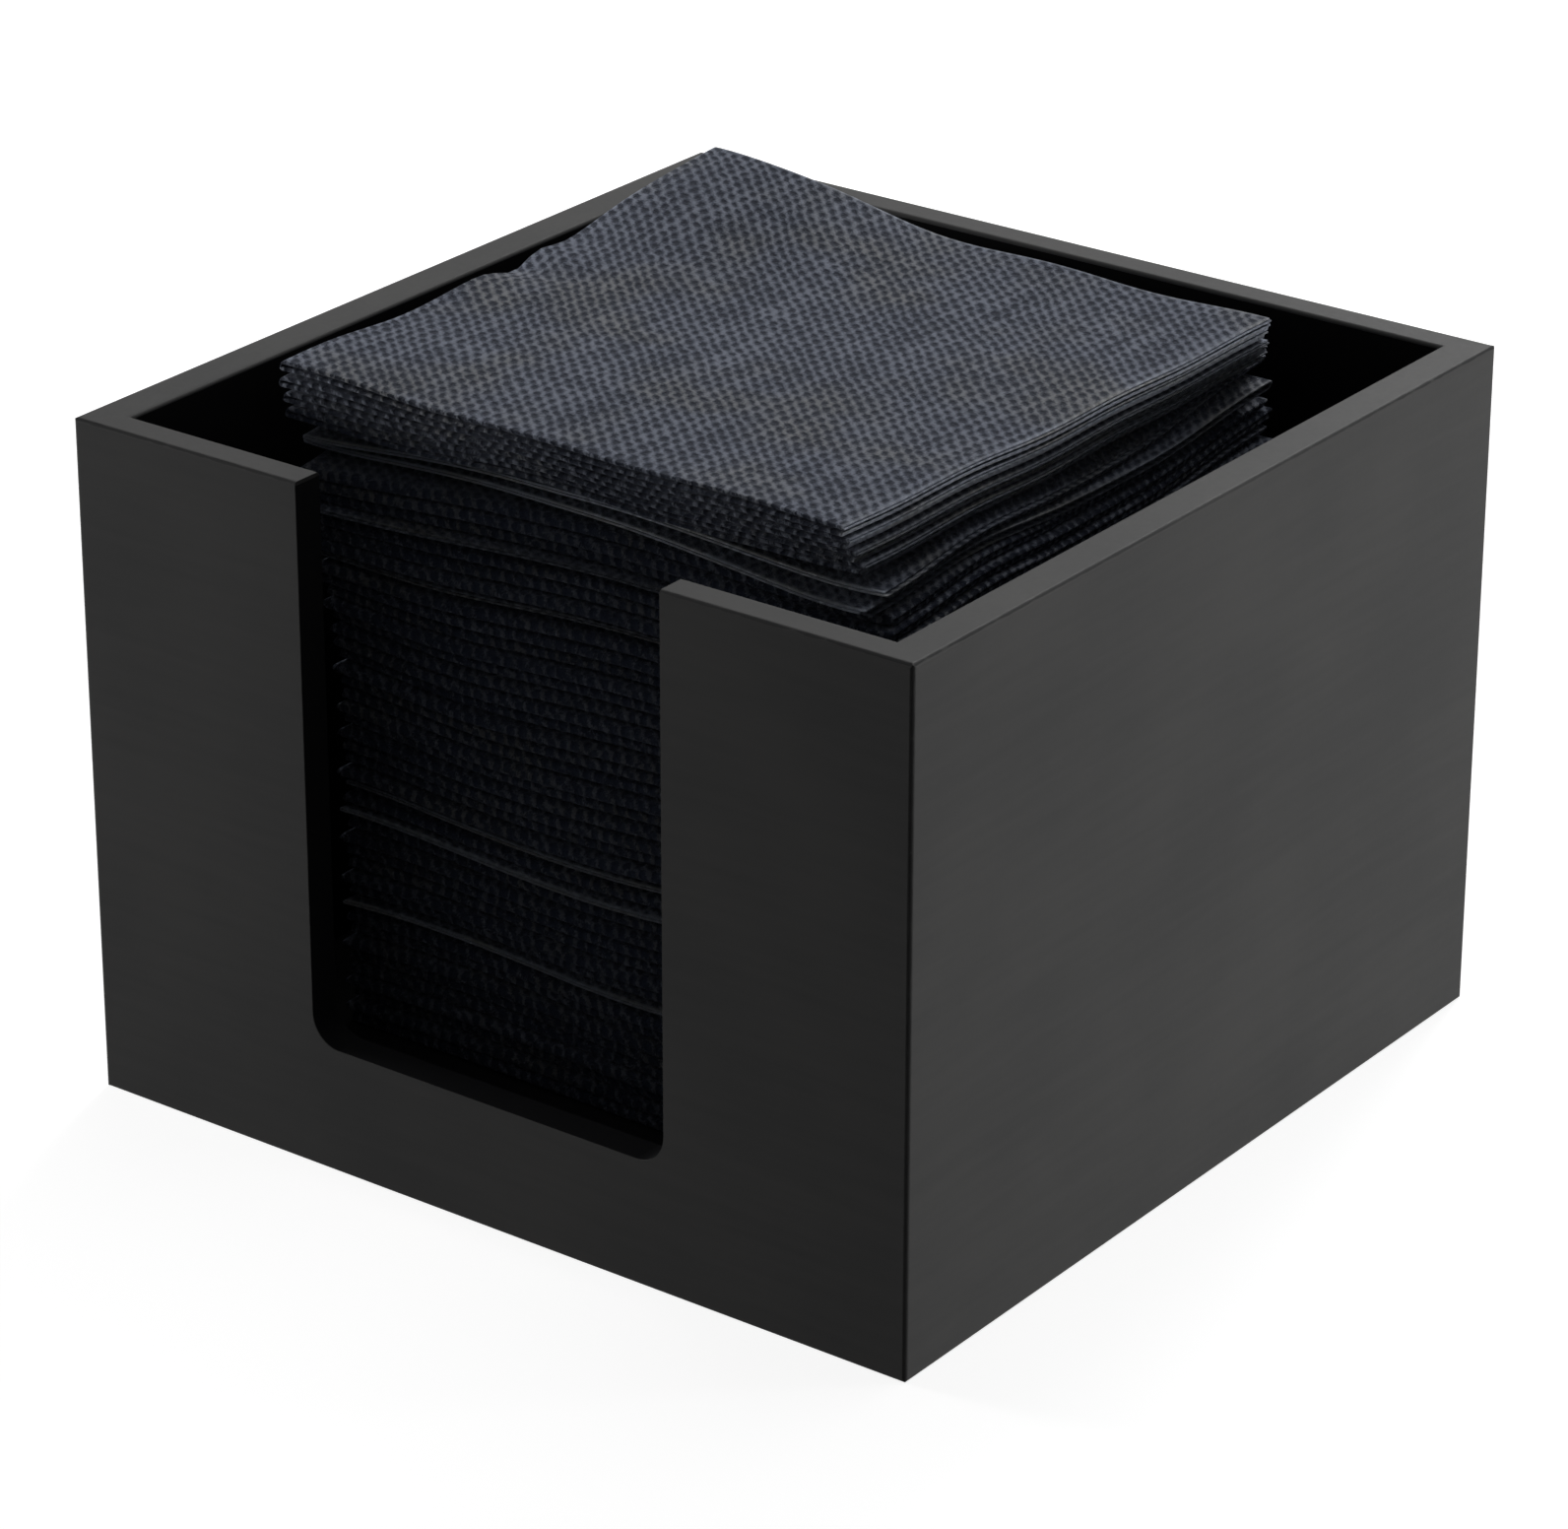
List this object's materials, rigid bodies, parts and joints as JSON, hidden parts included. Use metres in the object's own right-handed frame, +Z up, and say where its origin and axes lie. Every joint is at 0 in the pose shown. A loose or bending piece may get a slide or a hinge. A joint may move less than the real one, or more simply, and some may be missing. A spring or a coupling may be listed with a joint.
{
  "type": "napkin dispenser",
  "caption": "Square open-topped counter box of painted boards with a U-shaped hand slot in the front, holding a loose stack of folded napkins.",
  "frame": {"origin": "centre of the square footprint, on the table", "axes": "+Z up, -Y out of the front with the hand slot, +X to the right-hand side seen from the front"},
  "size_m": [0.184, 0.184, 0.1483],
  "materials": {
    "painted_board": "matte",
    "napkin_cloth": "matte"
  },
  "bodies": {
    "holder": {"front_panel": "painted_board", "back_panel": "painted_board", "left_panel": "painted_board", "right_panel": "painted_board", "base_panel": "painted_board"},
    "lower_napkins": {"napkin_01": "napkin_cloth", "napkin_02": "napkin_cloth", "napkin_03": "napkin_cloth", "napkin_04": "napkin_cloth", "napkin_05": "napkin_cloth", "napkin_06": "napkin_cloth", "napkin_07": "napkin_cloth", "napkin_08": "napkin_cloth", "napkin_09": "napkin_cloth", "napkin_10": "napkin_cloth", "napkin_11": "napkin_cloth", "napkin_12": "napkin_cloth", "napkin_13": "napkin_cloth", "napkin_14": "napkin_cloth", "napkin_15": "napkin_cloth", "napkin_16": "napkin_cloth", "napkin_17": "napkin_cloth", "napkin_18": "napkin_cloth", "napkin_19": "napkin_cloth", "napkin_20": "napkin_cloth"},
    "middle_napkins": {"napkin_21": "napkin_cloth", "napkin_22": "napkin_cloth", "napkin_23": "napkin_cloth", "napkin_24": "napkin_cloth", "napkin_25": "napkin_cloth", "napkin_26": "napkin_cloth", "napkin_27": "napkin_cloth", "napkin_28": "napkin_cloth", "napkin_29": "napkin_cloth", "napkin_30": "napkin_cloth", "napkin_31": "napkin_cloth", "napkin_32": "napkin_cloth", "napkin_33": "napkin_cloth", "napkin_34": "napkin_cloth", "napkin_35": "napkin_cloth", "napkin_36": "napkin_cloth"},
    "upper_napkins": {"napkin_37": "napkin_cloth", "napkin_38": "napkin_cloth", "napkin_39": "napkin_cloth", "napkin_40": "napkin_cloth", "napkin_41": "napkin_cloth", "napkin_42": "napkin_cloth", "napkin_43": "napkin_cloth", "napkin_44": "napkin_cloth", "napkin_45": "napkin_cloth", "napkin_46": "napkin_cloth"},
    "napkin_47": {"napkin_47": "napkin_cloth"},
    "napkin_48": {"napkin_48": "napkin_cloth"},
    "napkin_49": {"napkin_49": "napkin_cloth"},
    "napkin_50": {"napkin_50": "napkin_cloth"}
  },
  "joints": [
    {"name": "lower_napkins_lift", "type": "slide", "parent": "holder", "child": "lower_napkins", "axis": [0, 0, 1], "range_m": [0, 0.13]},
    {"name": "middle_napkins_lift", "type": "slide", "parent": "lower_napkins", "child": "middle_napkins", "axis": [0, 0, 1], "range_m": [0, 0.08]},
    {"name": "upper_napkins_lift", "type": "slide", "parent": "middle_napkins", "child": "upper_napkins", "axis": [0, 0, 1], "range_m": [0, 0.045]},
    {"name": "napkin_47_lift", "type": "slide", "parent": "upper_napkins", "child": "napkin_47", "axis": [0, 0, 1], "range_m": [0, 0.03]},
    {"name": "napkin_48_lift", "type": "slide", "parent": "napkin_47", "child": "napkin_48", "axis": [0, 0, 1], "range_m": [0, 0.03]},
    {"name": "napkin_49_lift", "type": "slide", "parent": "napkin_48", "child": "napkin_49", "axis": [0, 0, 1], "range_m": [0, 0.03]},
    {"name": "napkin_50_lift", "type": "slide", "parent": "napkin_49", "child": "napkin_50", "axis": [0, 0, 1], "range_m": [0, 0.03]}
  ]
}
